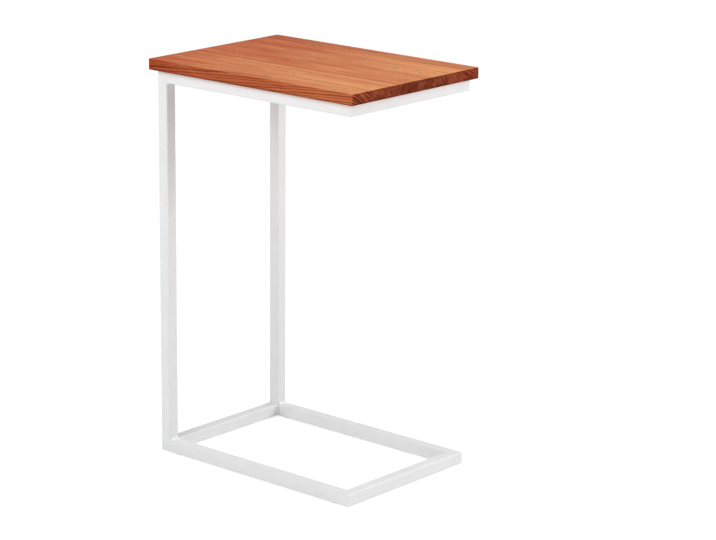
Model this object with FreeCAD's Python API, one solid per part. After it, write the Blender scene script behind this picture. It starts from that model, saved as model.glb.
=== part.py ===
import FreeCAD, Part
import os

# C-shaped side table: a welded frame of square steel tube under an edge-glued wooden top.
# Millimetres. The origin is on the floor under the middle of the top. +Z is up, +X points to the
# open front of the C, and the uprights stand at the rear. Left is -Y and right is +Y.

# Wooden top
top_length = 432.0
top_width = 304.0
top_thickness = 18.0
top_overhang = 10.0
top_corner_radius = 1.0
top_edge_radius = 0.8
stave_count = 8

# Steel frame
table_height = 662.0
tube_side = 20.0
tube_wall = 1.5
tube_corner_radius = 2.0

# Welds
weld_leg = 3.0
weld_bulge = 0.3
groove_fill = 1.5

# Screws that hold the top, seated inside the top rails
screws_per_rail = 2
screw_end_inset = 60.0
screw_diameter = 4.0
screw_bite = 14.0
screw_tip_length = 4.0
screw_tip_diameter = 0.6
screw_head_diameter = 8.0
screw_head_height = 2.6
screw_head_chamfer = 1.2
screw_hole_clearance = 0.3
screw_access_clearance = 1.0
pilot_clearance = 0.1
pilot_end_gap = 1.0
recess_length = 4.0
recess_width = 1.0
recess_depth = 1.3

# Push-in floor glides
glide_end_inset = 35.0
glide_head_diameter = 14.0
glide_head_height = 2.0
glide_head_chamfer = 0.8
glide_neck_diameter = 7.4
glide_neck_clearance = 0.3
glide_stem_height = 8.0
glide_tip_diameter = 6.0

# Worked out from the sizes above
frame_length = top_length - 2 * top_overhang
frame_width = top_width - 2 * top_overhang
base_bottom = glide_head_height
frame_top = table_height - top_thickness
top_rail_bottom = frame_top - tube_side
screw_seat = frame_top - tube_wall
rear_face = -frame_length / 2
front_face = frame_length / 2
side_face = frame_width / 2
rail_y = side_face - tube_side / 2
screw_hole_radius = screw_diameter / 2 + screw_hole_clearance
screw_access_radius = screw_head_diameter / 2 + screw_access_clearance
pilot_radius = screw_diameter / 2 + pilot_clearance
pilot_depth = tube_wall + screw_bite + pilot_end_gap
glide_hole_radius = glide_neck_diameter / 2 + glide_neck_clearance
cutter_size = 2 * max(table_height, top_length, top_width)

vector = FreeCAD.Vector
X = vector(1, 0, 0)
Y = vector(0, 1, 0)
Z = vector(0, 0, 1)
SIDES = {"left": -1, "right": 1}


def upright_edges(shape):
    """The straight edges of a block that run along its own Z."""
    return [edge for edge in shape.Edges if abs(edge.tangentAt(edge.FirstParameter).z) > 0.5]


def bar(start, end, side, radius=0.0):
    """Full square bar along a centre line that follows one of the axes, with rounded long edges."""
    run = end - start
    block = Part.makeBox(side, side, run.Length, vector(-side / 2, -side / 2, 0))
    if radius > 0:
        block = block.makeFillet(radius, upright_edges(block))
    block.Placement = FreeCAD.Placement(start, FreeCAD.Rotation(Z, run))
    return block


def tube_outline(start, end):
    """The outside of a tube, as a full bar."""
    return bar(start, end, tube_side, tube_corner_radius)


def tube(start, end):
    """Hollow square tube with square-cut ends."""
    return tube_outline(start, end).cut(bar(start, end, tube_side - 2 * tube_wall))


def trimmed(shape, point, outward):
    """Cut away what lies beyond a plane through the point, on the side that outward points to."""
    return shape.cut(Part.makeCylinder(cutter_size, cutter_size, point, outward))


def bored(shape, points, radius, depth):
    """Drill one hole upwards from each point."""
    for point in points:
        shape = shape.cut(Part.makeCylinder(radius, depth, point, Z))
    return shape


def turned(profile):
    """Solid of revolution about Z from radius and height pairs."""
    points = [vector(radius, 0, height) for radius, height in profile]
    face = Part.Face(Part.makePolygon(points + points[:1]))
    return face.revolve(vector(), Z, 360)


def placed(shape, points):
    """Copies of a solid with its own origin at each point."""
    copies = []
    for point in points:
        copy = shape.copy()
        copy.translate(point)
        copies.append(copy)
    return copies


# Frame: each side is a C of three tubes with mitred corners, and four cross bars join the sides
def side_lines(sign):
    """Centre lines of one side's base rail, upright and top rail, from outer end to outer end."""
    y = sign * rail_y
    upright_x = rear_face + tube_side / 2
    base_z = base_bottom + tube_side / 2
    top_z = frame_top - tube_side / 2
    return {
        "base_rail": (vector(rear_face, y, base_z), vector(front_face, y, base_z)),
        "upright": (vector(upright_x, y, base_bottom), vector(upright_x, y, frame_top)),
        "top_rail": (vector(rear_face, y, top_z), vector(front_face, y, top_z)),
    }


def mitred_side(sign, section):
    """One side's three members, hollow or full, mitred to each other and to the front bars."""
    lines = side_lines(sign)
    tubes = {name: section(start, end) for name, (start, end) in lines.items()}
    low_corner = vector(rear_face, 0, base_bottom)
    high_corner = vector(rear_face, 0, frame_top)
    front_corner = vector(front_face, sign * side_face, 0)
    front_outward = X - Y * sign
    tubes["base_rail"] = trimmed(tubes["base_rail"], low_corner, Z - X)
    tubes["upright"] = trimmed(tubes["upright"], low_corner, X - Z)
    tubes["upright"] = trimmed(tubes["upright"], high_corner, X + Z)
    tubes["top_rail"] = trimmed(tubes["top_rail"], high_corner, -X - Z)
    for name in ("base_rail", "top_rail"):
        tubes[name] = trimmed(tubes[name], front_corner, front_outward)
    return tubes


def front_bar(bottom):
    """Cross bar between the front ends of two rails, mitred at both ends."""
    x = front_face - tube_side / 2
    z = bottom + tube_side / 2
    member = tube(vector(x, -side_face, z), vector(x, side_face, z))
    for sign in SIDES.values():
        member = trimmed(member, vector(front_face, sign * side_face, 0), Y * sign - X)
    return member


def rear_bar(bottom):
    """Cross bar with square ends between the inner faces of the two sides."""
    x = rear_face + tube_side / 2
    z = bottom + tube_side / 2
    reach = side_face - tube_side
    return tube(vector(x, -reach, z), vector(x, reach, z))


# Welds: beads in the inner corners, and flush fills where a rear bar meets rounded tube edges
def bead(corner, leg_a, leg_b, run):
    """Weld bead in a right-angled inner corner, with its legs along two directions."""
    foot_a = corner + leg_a * weld_leg
    foot_b = corner + leg_b * weld_leg
    outward = leg_a + leg_b
    outward.normalize()
    crown = (foot_a + foot_b) * 0.5 + outward * weld_bulge
    surface = Part.Arc(foot_a, crown, foot_b).toShape()
    sides = [Part.makeLine(foot_b, corner), Part.makeLine(corner, foot_a)]
    return Part.Face(Part.Wire([surface] + sides)).extrude(run)


def corner_beads(sign, bottom, into_c):
    """Beads of one side's joints at the base or the top; into_c points into the C's opening."""
    inner_y = sign * (side_face - tube_side)
    inner_rear = rear_face + tube_side
    inner_front = front_face - tube_side
    low_flat = bottom + tube_corner_radius
    c_face = bottom + tube_side if into_c.z > 0 else bottom
    flat = tube_side - 2 * tube_corner_radius
    inward = Y * -sign
    across_start = inner_y + sign * tube_corner_radius
    along_start = rear_face + tube_corner_radius
    return [
        bead(vector(inner_front, inner_y, low_flat), -X, inward, Z * flat),
        bead(vector(inner_rear, inner_y, low_flat), X, inward, Z * flat),
        bead(vector(inner_rear, across_start, c_face), X, into_c, Y * (sign * flat)),
        bead(vector(along_start, inner_y, c_face), inward, into_c, X * flat),
    ]


def groove_weld(sign, bottom):
    """Flush fill between a rear bar's square end and the rounded edges of the side it meets."""
    x = rear_face + tube_side / 2
    z = bottom + tube_side / 2
    inner_y = side_face - tube_side
    fill = tube_outline(vector(x, sign * inner_y, z), vector(x, sign * (inner_y + groove_fill), z))
    for member in mitred_side(sign, tube_outline).values():
        fill = fill.cut(member)
    return max(fill.Solids, key=lambda solid: solid.Volume)


def frame_welds():
    """All welds of the frame as one group of separate solids."""
    beads = []
    for sign in SIDES.values():
        for bottom, into_c in ((base_bottom, Z), (top_rail_bottom, -Z)):
            beads += corner_beads(sign, bottom, into_c)
            beads.append(groove_weld(sign, bottom))
    return Part.makeCompound(beads)


# Top: a board with eased edges, cut into staves that run along X
def rounded_board():
    """The whole top before it is split, with rounded corners and eased edges."""
    corner = vector(-top_length / 2, -top_width / 2, frame_top)
    board = Part.makeBox(top_length, top_width, top_thickness, corner)
    board = board.makeFillet(top_corner_radius, upright_edges(board))
    faces = [face for face in board.Faces if abs(face.normalAt(0, 0).z) > 0.5]
    return board.makeFillet(top_edge_radius, [edge for face in faces for edge in face.Edges])


def staves(board):
    """Cut the board into equal staves, from the left edge to the right."""
    stave_width = top_width / stave_count
    for index in range(stave_count):
        y = -top_width / 2 + index * stave_width
        slab = Part.makeBox(cutter_size, stave_width, cutter_size, vector(-cutter_size / 2, y, 0))
        yield board.common(slab)


# Screws: pan heads against the inside of the top rails, with their points in the wood
def screw_points(sign, level):
    """Points on the axes of one top rail's screws, at a given height."""
    first = rear_face + screw_end_inset
    step = (frame_length - 2 * screw_end_inset) / (screws_per_rail - 1)
    stations = [first + index * step for index in range(screws_per_rail)]
    return [vector(x, sign * rail_y, level) for x in stations]


def screw():
    """Pan-head wood screw with a cross recess, head down, with its bearing face at the origin."""
    radius = screw_diameter / 2
    head_radius = screw_head_diameter / 2
    crown_radius = head_radius - screw_head_chamfer
    tip = tube_wall + screw_bite
    body = turned([
        (0, -screw_head_height), (crown_radius, -screw_head_height),
        (head_radius, screw_head_chamfer - screw_head_height), (head_radius, 0), (radius, 0),
        (radius, tip - screw_tip_length), (screw_tip_diameter / 2, tip), (0, tip),
    ])
    for length, width in ((recess_length, recess_width), (recess_width, recess_length)):
        corner = vector(-length / 2, -width / 2, -screw_head_height)
        body = body.cut(Part.makeBox(length, width, recess_depth, corner))
    return body


# Glides: a low round head under the base rail and a tapered stem pushed into a hole
def glide_points(sign):
    """Points on the floor under one base rail where its rear and front glides stand."""
    reach = frame_length / 2 - glide_end_inset
    return [vector(-reach, sign * rail_y, 0), vector(reach, sign * rail_y, 0)]


def glide():
    """Push-in glide, standing on the floor at the origin."""
    head_radius = glide_head_diameter / 2
    stem_top = glide_head_height + glide_stem_height
    return turned([
        (0, 0), (head_radius - glide_head_chamfer, 0), (head_radius, glide_head_chamfer),
        (head_radius, glide_head_height), (glide_neck_diameter / 2, glide_head_height),
        (glide_tip_diameter / 2, stem_top), (0, stem_top),
    ])


# Assembly
def side_parts(side, sign):
    """The named tubes of one side, with the holes for its screws, a screwdriver and its glides."""
    tubes = mitred_side(sign, tube)
    seats = screw_points(sign, screw_seat)
    access = screw_points(sign, top_rail_bottom)
    glide_hole_depth = base_bottom + tube_wall
    tubes["top_rail"] = bored(tubes["top_rail"], seats, screw_hole_radius, tube_wall)
    tubes["top_rail"] = bored(tubes["top_rail"], access, screw_access_radius, tube_wall)
    tubes["base_rail"] = bored(tubes["base_rail"], glide_points(sign), glide_hole_radius, glide_hole_depth)
    return {f"{side}_{name}": shape for name, shape in tubes.items()}


screw_places = [point for sign in SIDES.values() for point in screw_points(sign, screw_seat)]
glide_places = [point for sign in SIDES.values() for point in glide_points(sign)]
drilled_board = bored(rounded_board(), screw_places, pilot_radius, pilot_depth)

parts = {}
for side, sign in SIDES.items():
    parts.update(side_parts(side, sign))
parts["base_front_bar"] = front_bar(base_bottom)
parts["base_rear_bar"] = rear_bar(base_bottom)
parts["top_front_bar"] = front_bar(top_rail_bottom)
parts["top_rear_bar"] = rear_bar(top_rail_bottom)
parts["frame_welds"] = frame_welds()
parts["floor_glides"] = Part.makeCompound(placed(glide(), glide_places))
parts["top_screws"] = Part.makeCompound(placed(screw(), screw_places))
for number, stave in enumerate(staves(drilled_board), start=1):
    parts[f"top_stave_{number}"] = stave

os.makedirs("parts", exist_ok=True)
for name, shape in parts.items():
    shape.exportStep(f"parts/{name}.step")
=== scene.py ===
import math
from dataclasses import dataclass

import bpy
from mathutils import Matrix, Vector


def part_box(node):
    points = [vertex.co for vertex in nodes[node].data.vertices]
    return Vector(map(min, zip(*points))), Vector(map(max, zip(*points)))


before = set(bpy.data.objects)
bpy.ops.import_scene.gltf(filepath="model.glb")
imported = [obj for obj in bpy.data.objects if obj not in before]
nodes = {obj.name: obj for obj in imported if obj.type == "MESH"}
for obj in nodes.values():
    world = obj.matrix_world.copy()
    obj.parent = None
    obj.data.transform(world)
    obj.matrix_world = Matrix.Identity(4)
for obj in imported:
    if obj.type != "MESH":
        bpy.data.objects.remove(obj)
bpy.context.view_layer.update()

MM_PER_M = 1000.0

# Camera: where it stands, what it looks at, its lens, and the shift that sets the table left of the middle
CAMERA_AZIMUTH = 41.770
CAMERA_ELEVATION = 15.070
CAMERA_ROLL = 0.289
CAMERA_AIM = Vector((0.0029, 0.0026, 0.3210))
CAMERA_DISTANCE = 4.2904
CAMERA_LENS = 132.99
CAMERA_SHIFT = 0.0615
SENSOR_WIDTH = 36.0

# Light: an even sky, soft suns and softboxes; a level of 1 shows white as white where a lamp is faced
SKY_LEVEL = 0.25
SUN_SPREAD = 40.0
SUNS = {
    "sun_left": {"azimuth": -20, "elevation": 30, "level": 0.26},
    "sun_right": {"azimuth": 150, "elevation": 35, "level": 0.40},
}
SOFTBOX_SIZE = 1.0
SOFTBOX_AIM = Vector((0, 0, 0.45))
SOFTBOXES = {
    "softbox_left": {"azimuth": 0, "distance": 2.0, "height": 1.5, "level": 0.39},
    "softbox_front": {"azimuth": 110, "distance": 2.0, "height": 1.1, "level": 0.40},
}

# Floor: the share of light that it throws back at the table, and its glow and shaded share where it is seen
FLOOR_SIZE = 40.0
FLOOR_ALBEDO = 0.85
FLOOR_GLOW = 0.79
FLOOR_SHADOW = 0.36

# Levels at the two ends of a smooth step, and the noise levels between which most of a noise lies
RISE = (0.0, 1.0)
FALL = (1.0, 0.0)
MIDDLE_SPAN = (0.3, 0.7)

# Wood colours, as linear light: early growth at the two ends of the stain's range, and the glued joints
EARLY_RED = (0.607, 0.140, 0.048)
EARLY_GOLD = (0.91, 0.395, 0.160)
GLUE_LINE = (0.12, 0.03, 0.015)

# Wood tints, which the colour is multiplied by: late growth on the top, the long edges and the end grain,
# then pores, flecks, the long edges, the end grain, and painted shade on the lower arris
WHITE = (1, 1, 1)
LATE_TINT = (0.54, 0.38, 0.32)
EDGE_LATE_TINT = (0.54, 0.40, 0.34)
END_LATE_TINT = (0.12, 0.08, 0.08)
PORE_TINT = (0.70, 0.56, 0.48)
FLECK_TINT = (0.82, 0.75, 0.71)
EDGE_TINT = (0.62, 0.455, 0.46)
END_TINT = (0.312, 0.153, 0.158)
ARRIS_SHADE_TINT = (0.60, 0.52, 0.50)

# Tone between red at 0 and gold at 1: the reach of clouds and bands, and what draws the edges together
CLOUD_REACH = 0.6
BAND_REACH = 0.375
EDGE_TONE = 0.50
EDGE_TONE_SHARE = 0.3

# Growth rings: the reach of the grain's wander in millimetres; how fast ring widths change per millimetre,
# in what detail and by how many rings; the parts of a ring where late growth sets in and stops; its least
# depth and what chance adds; its gain where it breaks off and where it is whole; and how much deeper it is
# on the long edges
WANDER_REACH = 4.0
SEASON_RATE = 0.12
SEASON_DETAIL = 1.0
SEASON_REACH = 1.5
LATE_START = (0.5, 0.9)
LATE_STOP = (0.95, 1.0)
RING_LEAST = 0.7
RING_CHANCE = 0.3
BREAK_GAINS = (0.6, 1.2)
EDGE_BOOST = 1.3

# Fibres to either side of the mean, how much deeper they are on edges and ends, and the ends' uneven stain
FIBRE_DEPTH = 0.22
FIBRE_BOOST = 0.3
MOTTLE_DEPTH = 0.32

# Joints between staves and the painted shade along the lower arris: their reach in millimetres and the
# joint's strength
JOINT_FADE = (0.1, 0.5)
JOINT_SHARE = 0.22
ARRIS_SHADE_REACH = 5.0

# Lacquered surface of the wood: relief in millimetres, with the late growth sunk below the fibres
WOOD_ROUGHNESS = (0.56, 0.46)
WOOD_SPECULAR = 0.02
WOOD_RELIEF = 0.08
WOOD_RELIEF_STRENGTH = 0.6
LATE_SINK = 0.5

# Powder coat: orange peel, slow mottle, and lumps on tube and on weld with their share of the relief, all
# sizes in millimetres; the two whites, and the thinner film within a radius of an edge
PEEL_SIZE = 1.25
COAT_MOTTLE_SIZE = 33
TUBE_LUMPS = {"lump_size": 6.0, "lump_share": 0.2}
WELD_LUMPS = {"lump_size": 1.6, "lump_share": 2.0}
COAT_WHITES = ((0.745, 0.752, 0.757), (0.765, 0.772, 0.777))
COAT_EDGE_COLOUR = (0.68, 0.68, 0.68)
COAT_EDGE_SHARE = 0.3
COAT_EDGE_RADIUS = 1.5
COAT_EDGE_SAMPLES = 4
COAT_EDGE_SPAN = (0.8, 1.0)
COAT_ROUGHNESS = (0.50, 0.42)
COAT_SPECULAR = 0.4
COAT_RELIEF = 0.03
COAT_RELIEF_STRENGTH = 0.5

# Nylon and zinc plate: a fine grain, with its size and relief in millimetres
GRAIN_RELIEF = 0.02
NYLON = {
    "grain_size": 0.67,
    "detail": 3,
    "colours": ((0.76, 0.76, 0.74), (0.82, 0.82, 0.80)),
    "roughness": (0.60, 0.45),
    "relief_strength": 0.5,
}
ZINC = {
    "grain_size": 0.5,
    "detail": 4,
    "colours": ((0.52, 0.53, 0.55), (0.68, 0.68, 0.66)),
    "roughness": (0.38, 0.26),
    "relief_strength": 0.4,
    "metallic": 1.0,
}


@dataclass
class Pattern:
    """A noise pattern of the wood."""

    size: tuple  # millimetres along, across and up
    lane: float  # place in the noise, so that patterns of one size differ
    detail: float = 2.0
    roughness: float = 0.5
    span: tuple = RISE  # noise levels between which it sets in


# Wander of the grain sideways and upwards, breaks in the late growth, dark flecks, fibres, pores, bands and
# clouds of tone, and the uneven stain of the ends
SIDE_WANDER = Pattern(size=(200, 83, 83), lane=0, detail=4)
RISE_WANDER = Pattern(size=(200, 83, 83), lane=50, detail=4)
BREAKS = Pattern(size=(36, 3.0, 3.0), lane=30, span=(0.35, 0.65))
FLECKS = Pattern(size=(36, 3.0, 3.0), lane=40, span=(0.52, 0.72))
FIBRES = Pattern(size=(10, 0.7, 0.7), lane=3, detail=4, roughness=0.6, span=(0.2, 0.8))
PORES = Pattern(size=(4, 0.7, 0.7), lane=5, span=(0.55, 0.75))
BANDS = Pattern(size=(330, 9, 9), lane=0, detail=3)
CLOUDS = Pattern(size=(140, 33, 33), lane=9)
MOTTLE = Pattern(size=(60, 9, 6), lane=60, detail=3, span=MIDDLE_SPAN)

# How far apart the staves lie in the noise
SEED_STEP = 37.0


@dataclass
class Stave:
    """How one stave of the top was sawn and stained; lengths are in millimetres from its middle."""

    tone: float  # place between red and gold
    # The rise is partly wood tone and partly painted light, drawing the front brighter and yellower
    tone_and_light_rise: float  # how much the tone grows from the middle to the front
    pith: tuple  # centre of the growth rings, across and up
    pitch: float  # from ring to ring
    boost: float  # how much deeper the late growth is on the end grain
    end: float  # gain of the end grain
    late: float = 0.76  # depth of the late growth
    slope: float = 0.0  # climb of the rings towards the front
    streaks: tuple = ()  # long streaks: place across, half width and gain


# Staves from left to right
STAVES = (
    Stave(tone=0.47, tone_and_light_rise=0.45, pith=(-51, -86), pitch=4.1, boost=2.6, end=1.25, late=0.92, slope=0.07),
    Stave(tone=0.59, tone_and_light_rise=0.36, pith=(-48, -60), pitch=3.8, boost=0.0, end=0.92,
          streaks=((-13, 5, 0.84),)),
    Stave(tone=0.52, tone_and_light_rise=0.30, pith=(-56, -48), pitch=4.0, boost=0.2, end=0.92,
          streaks=((13, 5, 0.72), (1, 5, 1.14), (-8, 4, 0.85))),
    Stave(tone=0.34, tone_and_light_rise=0.24, pith=(52, -60), pitch=3.8, boost=1.1, end=0.86, late=0.66,
          streaks=((-13, 6, 1.20),)),
    Stave(tone=0.39, tone_and_light_rise=0.41, pith=(60, -50), pitch=4.2, boost=1.1, end=0.84, late=0.66,
          streaks=((6, 4, 0.90),)),
    Stave(tone=0.56, tone_and_light_rise=0.51, pith=(-60, -52), pitch=3.8, boost=1.1, end=0.92, late=0.66,
          streaks=((12, 4, 0.92),)),
    Stave(tone=0.47, tone_and_light_rise=0.41, pith=(-50, -62), pitch=3.6, boost=0.5, end=1.04, late=0.66,
          streaks=((-3, 8, 1.10), (-16, 4, 0.82))),
    Stave(tone=0.325, tone_and_light_rise=0.28, pith=(-50, -84), pitch=4.2, boost=2.4, end=1.29,
          streaks=((0, 60, 0.89), (2, 4, 0.92))),
)

# Sockets of a mix for its share, and for the two sides and the result, by the kind of value
MIX_SHARE = 0
MIX_NUMBERS = (2, 3, 0)
MIX_COLOURS = (6, 7, 2)


class Graph:
    """The nodes of a material or of the sky, with short ways to add and join them."""

    def __init__(self, owner):
        owner.use_nodes = True
        self.owner = owner
        self.tree = owner.node_tree
        self.tree.nodes.clear()

    def node(self, kind, inputs=None, **settings):
        """Add a node, set its options and feed its sockets with values or other nodes' outputs."""
        made = self.tree.nodes.new(kind)
        for key, value in settings.items():
            setattr(made, key, value)
        for key, value in (inputs or {}).items():
            if isinstance(value, bpy.types.NodeSocket):
                self.tree.links.new(value, made.inputs[key])
            else:
                made.inputs[key].default_value = value
        return made

    def math(self, operation, *values):
        """Reckon with numbers."""
        return self.node("ShaderNodeMath", dict(enumerate(values)), operation=operation).outputs[0]

    def vector(self, operation, first, second=(0, 0, 0)):
        """Reckon with points or colours."""
        made = self.node("ShaderNodeVectorMath", {0: first, 1: second}, operation=operation)
        return made.outputs["Value" if operation in ("LENGTH", "DOT_PRODUCT") else "Vector"]

    def split(self, vector):
        """The three parts of a vector."""
        return self.node("ShaderNodeSeparateXYZ", {0: vector}).outputs

    def join(self, x, y, z):
        """A vector from its three parts."""
        return self.node("ShaderNodeCombineXYZ", {0: x, 1: y, 2: z}).outputs[0]

    def step(self, value, span, levels=RISE):
        """Smooth step of a value over a span, from one level to another."""
        inputs = {"Value": value}
        inputs["From Min"], inputs["From Max"] = span
        inputs["To Min"], inputs["To Max"] = levels
        made = self.node("ShaderNodeMapRange", inputs, interpolation_type="SMOOTHSTEP")
        return made.outputs["Result"]

    def mix(self, kind, sockets, share, first, second):
        """Mix two values of one kind."""
        first_socket, second_socket, result = sockets
        inputs = {MIX_SHARE: share, first_socket: first, second_socket: second}
        return self.node("ShaderNodeMix", inputs, data_type=kind).outputs[result]

    def fade(self, share, first, second):
        """Mix two numbers."""
        return self.mix("FLOAT", MIX_NUMBERS, share, first, second)

    def blend(self, share, first, second):
        """Mix two colours."""
        first, second = (
            value if isinstance(value, bpy.types.NodeSocket) else (*value, 1.0)
            for value in (first, second)
        )
        return self.mix("RGBA", MIX_COLOURS, share, first, second)

    def tint(self, colour, share, tint):
        """Multiply a colour by a tint, as far as the share says."""
        return self.vector("MULTIPLY", colour, self.blend(share, WHITE, tint))

    def vary(self, colour, change):
        """Make a colour lighter or darker by a part of itself."""
        return self.vector("MULTIPLY", colour, self.math("ADD", change, 1.0))

    def noise(self, point, size, offset=(0, 0, 0), detail=2.0, roughness=0.5):
        """Noise from 0 to 1 with features of the given size along each axis of the point."""
        place = self.vector("ADD", self.vector("DIVIDE", point, size), offset)
        inputs = {"Vector": place, "Scale": 1.0, "Detail": detail, "Roughness": roughness}
        return self.node("ShaderNodeTexNoise", inputs).outputs[0]

    def even_noise(self, size, detail):
        """Noise with features of one size all ways, in millimetres."""
        return self.noise(self.millimetres(), (size,) * 3, detail=detail)

    def millimetres(self):
        """The point on the object in millimetres in the table's own frame."""
        point = self.node("ShaderNodeTexCoord").outputs["Object"]
        return self.vector("MULTIPLY", point, (MM_PER_M,) * 3)

    def bump(self, height, depth, strength):
        """The normal of a relief whose depth is in millimetres."""
        inputs = {"Height": height, "Distance": depth / MM_PER_M, "Strength": strength}
        return self.node("ShaderNodeBump", inputs).outputs[0]

    def surface(self, shader):
        """Use a shader for the surface, and give the finished material."""
        self.node("ShaderNodeOutputMaterial", {"Surface": shader.outputs[0]})
        return self.owner


class Wood(Graph):
    """The stained wood of one stave, whose box has the given middle and half sizes in millimetres."""

    def __init__(self, number, stave, middle, half):
        super().__init__(bpy.data.materials.new(f"stained_wood_{number}"))
        self.stave = stave
        self.half = half
        self.seed = SEED_STEP * number
        self.point = self.vector("SUBTRACT", self.millimetres(), tuple(middle))
        self.along, self.across, self.up = self.split(self.point)
        to_end, to_side, _ = self.split(self.node("ShaderNodeTexCoord").outputs["Normal"])
        self.end_face = self.math("POWER", to_end, 2.0)
        self.side_face = self.math("POWER", to_side, 2.0)
        self.open_grain = self.math("ADD", self.end_face, self.side_face)
        self.off_end = self.math("SUBTRACT", 1.0, self.end_face)
        self.sway = self.swing(SIDE_WANDER, WANDER_REACH)
        self.fibre = self.sample(FIBRES)
        self.late = self.late_growth()

    def sample(self, pattern):
        """A pattern's noise from 0 to 1, different in each stave."""
        offset = (self.seed, pattern.lane, 0)
        return self.noise(self.point, pattern.size, offset, pattern.detail, pattern.roughness)

    def swing(self, pattern, reach):
        """A pattern's noise, spread to either side of zero."""
        return self.math("MULTIPLY_ADD", self.sample(pattern), 2 * reach, -reach)

    def late_growth(self):
        """The share of late growth, from rings in three dimensions, so that all faces belong together."""
        stave = self.stave
        pith_y, pith_z = stave.pith
        climb = self.math("MULTIPLY_ADD", self.along, stave.slope, pith_z)
        lean = self.swing(RISE_WANDER, WANDER_REACH)
        from_pith_y = self.math("ADD", self.math("SUBTRACT", self.across, pith_y), self.sway)
        from_pith_z = self.math("ADD", self.math("SUBTRACT", self.up, climb), lean)
        radius = self.vector("LENGTH", self.join(0.0, from_pith_y, from_pith_z))
        inputs = {"W": radius, "Scale": SEASON_RATE, "Detail": SEASON_DETAIL}
        season = self.node("ShaderNodeTexNoise", inputs, noise_dimensions="1D").outputs[0]
        rings = self.math("DIVIDE", radius, stave.pitch)
        rings = self.math("MULTIPLY_ADD", season, SEASON_REACH, rings)
        part = self.math("FRACT", rings)
        late = self.math("MULTIPLY", self.step(part, LATE_START), self.step(part, LATE_STOP, FALL))
        number = self.math("ADD", self.math("FLOOR", rings), self.seed)
        chance = self.node("ShaderNodeTexWhiteNoise", {"W": number}, noise_dimensions="1D").outputs["Value"]
        depth = self.math("MULTIPLY_ADD", chance, stave.late * RING_CHANCE, stave.late * RING_LEAST)
        breaks = self.step(self.sample(BREAKS), BREAKS.span, BREAK_GAINS)
        return self.math("MULTIPLY", self.math("MULTIPLY", late, depth), breaks)

    def tone(self):
        """The place between red and gold, with bands and clouds, and a rise towards the front that is
        partly painted light.
        """
        # Partly painted light: the tone climbs towards the front, drawing it brighter and yellower
        tone = self.math("MULTIPLY_ADD", self.along, self.stave.tone_and_light_rise / self.half.x, self.stave.tone)
        tone = self.math("ADD", tone, self.swing(CLOUDS, CLOUD_REACH))
        tone = self.math("ADD", tone, self.swing(BANDS, BAND_REACH))
        tone = self.fade(self.math("MULTIPLY", self.side_face, EDGE_TONE_SHARE), tone, EDGE_TONE)
        return self.math("MAXIMUM", self.math("MINIMUM", tone, 1.0), 0.0)

    def with_grain(self, colour):
        """The colour with late growth, pores, fibres, flecks and streaks."""
        edge_gain = self.math("MULTIPLY_ADD", self.side_face, EDGE_BOOST, 1.0)
        ring_gain = self.math("MULTIPLY_ADD", self.end_face, self.stave.boost, edge_gain)
        late_tint = self.blend(self.side_face, LATE_TINT, EDGE_LATE_TINT)
        late_tint = self.blend(self.end_face, late_tint, END_LATE_TINT)
        colour = self.tint(colour, self.math("MULTIPLY", self.late, ring_gain), late_tint)
        colour = self.tint(colour, self.step(self.sample(PORES), PORES.span), PORE_TINT)
        fibre_gain = self.math("MULTIPLY_ADD", self.open_grain, FIBRE_BOOST, 1.0)
        fibre = self.step(self.fibre, FIBRES.span, (-FIBRE_DEPTH, FIBRE_DEPTH))
        colour = self.vary(colour, self.math("MULTIPLY", fibre, fibre_gain))
        fleck = self.step(self.sample(FLECKS), FLECKS.span)
        colour = self.tint(colour, self.math("MULTIPLY", fleck, self.off_end), FLECK_TINT)
        wander = self.math("ADD", self.across, self.sway)
        for place, half_width, gain in self.stave.streaks:
            distance = self.math("ABSOLUTE", self.math("SUBTRACT", wander, place))
            near = self.math("MULTIPLY", self.step(distance, (0.0, half_width), FALL), self.off_end)
            colour = self.vary(colour, self.math("MULTIPLY", near, gain - 1.0))
        return colour

    def with_faces(self, colour):
        """The colour with darker long edges, blotched end grain, painted shade along the lower arris and
        the glued joints.
        """
        colour = self.tint(colour, self.side_face, EDGE_TINT)
        end_tint = tuple(part * self.stave.end for part in END_TINT)
        colour = self.tint(colour, self.end_face, end_tint)
        blotch = self.step(self.sample(MOTTLE), MOTTLE.span, (-MOTTLE_DEPTH, MOTTLE_DEPTH))
        colour = self.vary(colour, self.math("MULTIPLY", blotch, self.end_face))
        # Painted shade: the sides and ends darken towards the lower arris
        low = self.step(self.up, (-self.half.z, ARRIS_SHADE_REACH - self.half.z), FALL)
        colour = self.tint(colour, self.math("MULTIPLY", low, self.open_grain), ARRIS_SHADE_TINT)
        to_joint = self.math("SUBTRACT", self.half.y, self.math("ABSOLUTE", self.across))
        joint = self.step(to_joint, JOINT_FADE, (JOINT_SHARE, 0.0))
        joint = self.math("MULTIPLY", joint, self.math("SUBTRACT", 1.0, self.side_face))
        return self.blend(joint, colour, GLUE_LINE)

    def material(self):
        """The finished material."""
        colour = self.blend(self.tone(), EARLY_RED, EARLY_GOLD)
        height = self.math("SUBTRACT", self.fibre, self.math("MULTIPLY", self.late, LATE_SINK))
        shader = self.node("ShaderNodeBsdfPrincipled", {
            "Base Color": self.with_faces(self.with_grain(colour)),
            "Roughness": self.step(self.fibre, FIBRES.span, WOOD_ROUGHNESS),
            "Specular IOR Level": WOOD_SPECULAR,
            "Normal": self.bump(height, WOOD_RELIEF, WOOD_RELIEF_STRENGTH),
        })
        return self.surface(shader)


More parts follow.
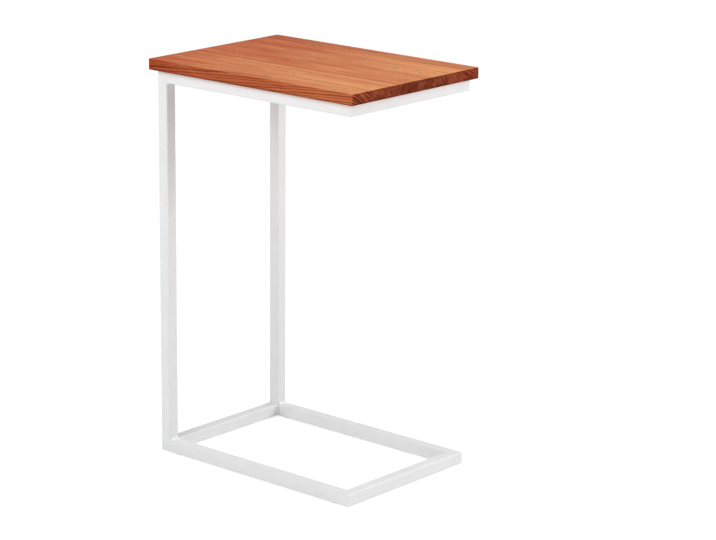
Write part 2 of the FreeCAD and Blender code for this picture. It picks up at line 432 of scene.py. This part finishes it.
def powder_coat(name, lump_size, lump_share):
    """White satin powder coat with a fine orange peel and a thinner film along the edges."""
    graph = Graph(bpy.data.materials.new(name))
    peel = graph.even_noise(PEEL_SIZE, detail=1)
    lumps = graph.even_noise(lump_size, detail=1)
    mottle = graph.even_noise(COAT_MOTTLE_SIZE, detail=3)
    bevel = {"Radius": COAT_EDGE_RADIUS / MM_PER_M}
    rounded = graph.node("ShaderNodeBevel", bevel, samples=COAT_EDGE_SAMPLES).outputs[0]
    flat = graph.node("ShaderNodeNewGeometry").outputs["True Normal"]
    edge = graph.step(graph.vector("DOT_PRODUCT", rounded, flat), COAT_EDGE_SPAN, FALL)
    colour = graph.blend(graph.step(mottle, MIDDLE_SPAN), *COAT_WHITES)
    colour = graph.blend(graph.math("MULTIPLY", edge, COAT_EDGE_SHARE), colour, COAT_EDGE_COLOUR)
    height = graph.math("ADD", peel, graph.math("MULTIPLY", lumps, lump_share))
    shader = graph.node("ShaderNodeBsdfPrincipled", {
        "Base Color": colour,
        "Roughness": graph.step(mottle, MIDDLE_SPAN, COAT_ROUGHNESS),
        "Specular IOR Level": COAT_SPECULAR,
        "Normal": graph.bump(height, COAT_RELIEF, COAT_RELIEF_STRENGTH),
    })
    return graph.surface(shader)


def fine_grained(name, grain_size, detail, colours, roughness, relief_strength, metallic=0.0):
    """A material with a fine grain in its colour, gloss and relief."""
    graph = Graph(bpy.data.materials.new(name))
    grain = graph.even_noise(grain_size, detail)
    shader = graph.node("ShaderNodeBsdfPrincipled", {
        "Base Color": graph.blend(graph.step(grain, MIDDLE_SPAN), *colours),
        "Metallic": metallic,
        "Roughness": graph.step(grain, MIDDLE_SPAN, roughness),
        "Normal": graph.bump(grain, GRAIN_RELIEF, relief_strength),
    })
    return graph.surface(shader)


def finish_node(name, material):
    """Give one of the table's nodes its material."""
    item = nodes[name]
    item.data.materials.clear()
    item.data.materials.append(material)


def dress_top():
    """Give each stave a wood of its own."""
    for number, stave in enumerate(STAVES, start=1):
        name = f"top_stave_{number}"
        low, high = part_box(name)
        middle = (low + high) / 2 * MM_PER_M
        half = (high - low) / 2 * MM_PER_M
        finish_node(name, Wood(number, stave, middle, half).material())


def dress_frame():
    """Coat the tubes and the welds."""
    coat = powder_coat("white_powder_coat", **TUBE_LUMPS)
    weld_coat = powder_coat("coated_weld", **WELD_LUMPS)
    for side in ("left", "right"):
        for member in ("base_rail", "upright", "top_rail"):
            finish_node(f"{side}_{member}", coat)
    for level in ("base", "top"):
        for end in ("front", "rear"):
            finish_node(f"{level}_{end}_bar", coat)
    finish_node("frame_welds", weld_coat)


def dress_fittings():
    """Give the glides their nylon and the screws their zinc plate."""
    finish_node("floor_glides", fine_grained("white_nylon", **NYLON))
    finish_node("top_screws", fine_grained("zinc_plated_steel", **ZINC))


def grey(level):
    """A grey as a colour with full cover."""
    return (level, level, level, 1.0)


def mix_by_ray(graph, falling, seen):
    """One shader for light that falls on things, and one for what is seen, mirrored or looked through."""
    path = graph.node("ShaderNodeLightPath").outputs
    direct = graph.math("MAXIMUM", path["Is Camera Ray"], path["Is Glossy Ray"])
    direct = graph.math("MAXIMUM", direct, path["Is Transmission Ray"])
    return graph.node("ShaderNodeMixShader", {0: direct, 1: falling.outputs[0], 2: seen.outputs[0]})


def make_floor():
    """A pale floor that keeps the table's shadow."""
    half = FLOOR_SIZE / 2
    corners = [(-half, -half, 0), (half, -half, 0), (half, half, 0), (-half, half, 0)]
    mesh = bpy.data.meshes.new("floor")
    mesh.from_pydata(corners, [], [(0, 1, 2, 3)])
    floor = bpy.data.objects.new("floor", mesh)
    bpy.context.scene.collection.objects.link(floor)
    graph = Graph(bpy.data.materials.new("pale_floor"))
    matt = graph.node("ShaderNodeBsdfDiffuse", {"Color": grey(FLOOR_ALBEDO)})
    shadow = graph.node("ShaderNodeBsdfDiffuse", {"Color": grey(FLOOR_SHADOW)})
    glow = graph.node("ShaderNodeEmission", {"Color": grey(1.0), "Strength": FLOOR_GLOW})
    pale = graph.node("ShaderNodeAddShader", {0: shadow.outputs[0], 1: glow.outputs[0]})
    mesh.materials.append(graph.surface(mix_by_ray(graph, matt, pale)))


def make_sky():
    """Even light from all around, and plain white where the sky is seen."""
    world = bpy.data.worlds.new("studio")
    bpy.context.scene.world = world
    graph = Graph(world)
    light = graph.node("ShaderNodeBackground", {"Color": grey(1.0), "Strength": SKY_LEVEL})
    white = graph.node("ShaderNodeBackground", {"Color": grey(1.0), "Strength": 1.0})
    graph.node("ShaderNodeOutputWorld", {"Surface": mix_by_ray(graph, light, white).outputs[0]})


def facing_from(azimuth, elevation):
    """Turn of a lamp or camera that looks in from a direction given in degrees."""
    turn = Matrix.Rotation(math.radians(azimuth), 4, "Z")
    tilt = Matrix.Rotation(math.radians(90 - elevation), 4, "X")
    return turn @ tilt


def add_lamp(name, kind, energy, place):
    """Add a lamp that is itself not seen."""
    lamp = bpy.data.lights.new(name, kind)
    lamp.energy = energy
    lamp_object = bpy.data.objects.new(name, lamp)
    lamp_object.matrix_world = place
    lamp_object.visible_camera = False
    bpy.context.scene.collection.objects.link(lamp_object)
    return lamp


def make_suns():
    """Soft light from far away on either side."""
    for name, sun in SUNS.items():
        place = facing_from(sun["azimuth"], sun["elevation"])
        lamp = add_lamp(name, "SUN", sun["level"] * math.pi, place)
        lamp.angle = math.radians(SUN_SPREAD)


def make_softboxes():
    """Square lamps near the table, as strong as their level asks at the point they aim at."""
    for name, box in SOFTBOXES.items():
        azimuth = math.radians(box["azimuth"])
        side = Vector((math.sin(azimuth), -math.cos(azimuth), 0)) * box["distance"]
        spot = side + Vector((0, 0, box["height"]))
        ray = SOFTBOX_AIM - spot
        place = Matrix.Translation(spot) @ ray.to_track_quat("-Z", "Y").to_matrix().to_4x4()
        lamp = add_lamp(name, "AREA", box["level"] * (math.pi * ray.length) ** 2, place)
        lamp.size = SOFTBOX_SIZE


def make_camera():
    """The camera, at its distance from the point it looks at."""
    data = bpy.data.cameras.new("camera")
    data.lens = CAMERA_LENS
    data.sensor_width = SENSOR_WIDTH
    data.sensor_fit = "HORIZONTAL"
    data.shift_x = CAMERA_SHIFT
    camera = bpy.data.objects.new("camera", data)
    roll = Matrix.Rotation(math.radians(CAMERA_ROLL), 4, "Z")
    facing = facing_from(CAMERA_AZIMUTH, CAMERA_ELEVATION) @ roll
    back = facing.to_3x3() @ Vector((0, 0, 1))
    camera.matrix_world = Matrix.Translation(CAMERA_AIM + back * CAMERA_DISTANCE) @ facing
    bpy.context.scene.collection.objects.link(camera)
    bpy.context.scene.camera = camera


dress_top()
dress_frame()
dress_fittings()
make_floor()
make_sky()
make_suns()
make_softboxes()
make_camera()
bpy.context.scene.view_settings.view_transform = "Standard"
